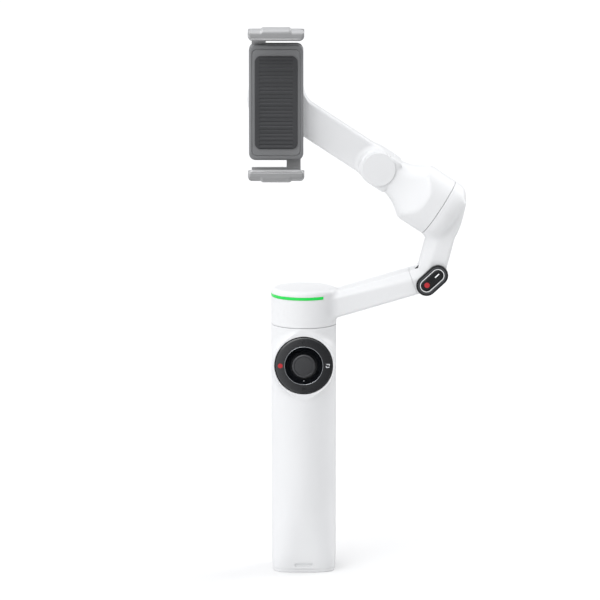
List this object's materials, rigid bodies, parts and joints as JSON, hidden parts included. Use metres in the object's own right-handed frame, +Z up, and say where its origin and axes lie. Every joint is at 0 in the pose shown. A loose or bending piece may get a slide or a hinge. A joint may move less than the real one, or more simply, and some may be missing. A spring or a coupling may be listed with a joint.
{
  "type": "handheld phone gimbal stabilizer",
  "caption": "Handheld three-axis phone stabilizer with a round handle, control wheel, folding bent arm, three motor joints and a spring-jaw phone clamp on a telescopic pole.",
  "frame": {"origin": "centre of the tripod thread's mouth, in the handle's flat base", "axes": "+Z up the handle, -Y towards the front with the control wheel, +X to the side that the arm climbs"},
  "size_m": [0.1128, 0.0391, 0.2852],
  "materials": {
    "white_shell": "satin moulded",
    "white_button": "satin moulded",
    "brass": "turned",
    "steel": "machined",
    "motor_steel": "dark plated",
    "magnet": "nickel plated",
    "pole_metal": "satin anodised",
    "black_plastic": "satin moulded",
    "grey_plastic": "smooth",
    "wheel_ring": "soft sheen",
    "joystick_rubber": "cross-hatched",
    "cell_wrap": "shrink wrap",
    "circuit_board": "solder mask",
    "status_light": "lit light guide",
    "pod_light": "light guide",
    "clamp_metal": "satin bead-blasted",
    "clamp_shell": "satin moulded",
    "grip_rubber": "matte"
  },
  "bodies": {
    "handle": {"front_shell": "white_shell", "rear_shell": "white_shell", "base_cap": "white_shell", "tripod_insert": "brass", "base_screws": "steel", "cell_cradle": "black_plastic", "battery_cells": "cell_wrap", "charging_socket": "steel", "main_board": "circuit_board", "pole_guide": "pole_metal", "handle_top_cap": "white_shell", "wheel_board": "circuit_board", "wheel_switches": "steel", "joystick_base": "black_plastic"},
    "pole_1": {"pole_stage_1": "pole_metal"},
    "pole_2": {"pole_stage_2": "pole_metal"},
    "pan_base": {"pole_stage_3": "pole_metal", "pan_base": "black_plastic", "pan_stator": "motor_steel", "pan_bearing": "steel"},
    "pan_arm": {"pan_arm": "white_shell", "pan_arm_cover": "white_shell", "status_light": "status_light", "pan_rotor_can": "motor_steel", "pan_magnets": "magnet", "fold_pin": "steel", "fold_washer": "steel"},
    "upper_arm": {"upper_arm": "white_shell", "upper_arm_cover": "white_shell", "button_pod": "black_plastic", "pod_trim": "grey_plastic", "pod_light": "pod_light", "tilt_stator": "motor_steel", "tilt_bearing": "steel"},
    "link": {"link_arm": "white_shell", "link_cap": "white_shell", "link_cover": "white_shell", "roll_rear_cap": "white_shell", "tilt_rotor_can": "motor_steel", "tilt_magnets": "magnet", "roll_stator": "motor_steel", "roll_bearing": "steel"},
    "clamp": {"clamp_body": "clamp_shell", "clamp_face": "clamp_shell", "clamp_pad": "grip_rubber", "roll_rotor_can": "motor_steel", "roll_magnets": "magnet"},
    "clamp_pinion": {"clamp_pinion": "black_plastic"},
    "upper_jaw": {"upper_jaw": "clamp_metal", "upper_jaw_grip": "grip_rubber"},
    "lower_jaw": {"lower_jaw": "clamp_metal", "lower_jaw_grip": "grip_rubber"},
    "control_wheel": {"control_wheel": "wheel_ring"},
    "joystick_yoke": {"joystick_yoke": "black_plastic"},
    "joystick": {"joystick_stick": "black_plastic", "joystick_cap": "joystick_rubber"},
    "trigger": {"trigger": "white_button"},
    "power_button": {"power_button": "black_plastic"},
    "elbow_key": {"elbow_key": "black_plastic"},
    "fold_lock": {"fold_lock_tab": "black_plastic"}
  },
  "joints": [
    {"name": "pole_lower", "type": "slide", "parent": "handle", "child": "pole_1", "axis": [0, 0, 1], "range_m": [0, 0.06]},
    {"name": "pole_middle", "type": "slide", "parent": "pole_1", "child": "pole_2", "axis": [0, 0, 1], "range_m": [0, 0.06]},
    {"name": "pole_upper", "type": "slide", "parent": "pole_2", "child": "pan_base", "axis": [0, 0, 1], "range_m": [0, 0.06]},
    {"name": "pan", "type": "hinge", "parent": "pan_base", "child": "pan_arm", "pos_m": [0, 0, 0.131], "axis": [0, 0, 1], "continuous": true},
    {"name": "fold", "type": "hinge", "parent": "pan_arm", "child": "upper_arm", "pos_m": [0.0565, 0, 0.1509], "axis": [0.9397, 0, 0.342], "range_deg": [0, 180]},
    {"name": "tilt", "type": "hinge", "parent": "upper_arm", "child": "link", "pos_m": [0.06955, 0, 0.18949], "axis": [-0.8358, 0, 0.549], "range_deg": [-90, 90]},
    {"name": "roll", "type": "hinge", "parent": "link", "child": "clamp", "pos_m": [-0.0142, 0, 0.2445], "axis": [0, 1, 0], "range_deg": [-100, 100]},
    {"name": "upper_jaw_slide", "type": "slide", "parent": "clamp", "child": "upper_jaw", "axis": [0, 0, 1], "range_m": [-0.0035, 0.0065]},
    {"name": "lower_jaw_slide", "type": "slide", "parent": "clamp", "child": "lower_jaw", "axis": [0, 0, -1], "range_m": [-0.0035, 0.0065]},
    {"name": "pinion_spin", "type": "hinge", "parent": "clamp", "child": "clamp_pinion", "pos_m": [-0.0142, 0, 0.2445], "axis": [0, 1, 0], "range_deg": [-42, 78]},
    {"name": "wheel_press", "type": "slide", "parent": "handle", "child": "control_wheel", "axis": [0, 1, 0], "range_m": [0, 0.0004], "stiffness_N_per_m": 1500, "springref_m": -0.0003},
    {"name": "joystick_up_down", "type": "hinge", "parent": "handle", "child": "joystick_yoke", "pos_m": [0, -0.0091, 0.1093], "axis": [1, 0, 0], "range_deg": [-9, 9], "stiffness_Nm_per_rad": 0.02},
    {"name": "joystick_left_right", "type": "hinge", "parent": "joystick_yoke", "child": "joystick", "pos_m": [0, -0.0091, 0.1093], "axis": [0, 0, 1], "range_deg": [-9, 9], "stiffness_Nm_per_rad": 0.02},
    {"name": "trigger_press", "type": "slide", "parent": "handle", "child": "trigger", "axis": [0, -1, 0], "range_m": [0, 0.0012], "stiffness_N_per_m": 800, "springref_m": -0.0005},
    {"name": "power_press", "type": "slide", "parent": "handle", "child": "power_button", "axis": [0, -1, 0], "range_m": [0, 0.0005], "stiffness_N_per_m": 1500, "springref_m": -0.0003},
    {"name": "elbow_key_press", "type": "slide", "parent": "upper_arm", "child": "elbow_key", "axis": [0, 1, 0], "range_m": [0, 0.0004], "stiffness_N_per_m": 1500, "springref_m": -0.0003},
    {"name": "fold_lock_press", "type": "slide", "parent": "upper_arm", "child": "fold_lock", "axis": [0.7071, 0, -0.7071], "range_m": [0, 0.0006], "stiffness_N_per_m": 1500, "springref_m": -0.0003}
  ],
  "couplings": [
    {"joint": "lower_jaw_slide", "follows": "upper_jaw_slide", "ratio": 1},
    {"joint": "pinion_spin", "follows": "upper_jaw_slide", "rad_per_m": 208.33}
  ]
}
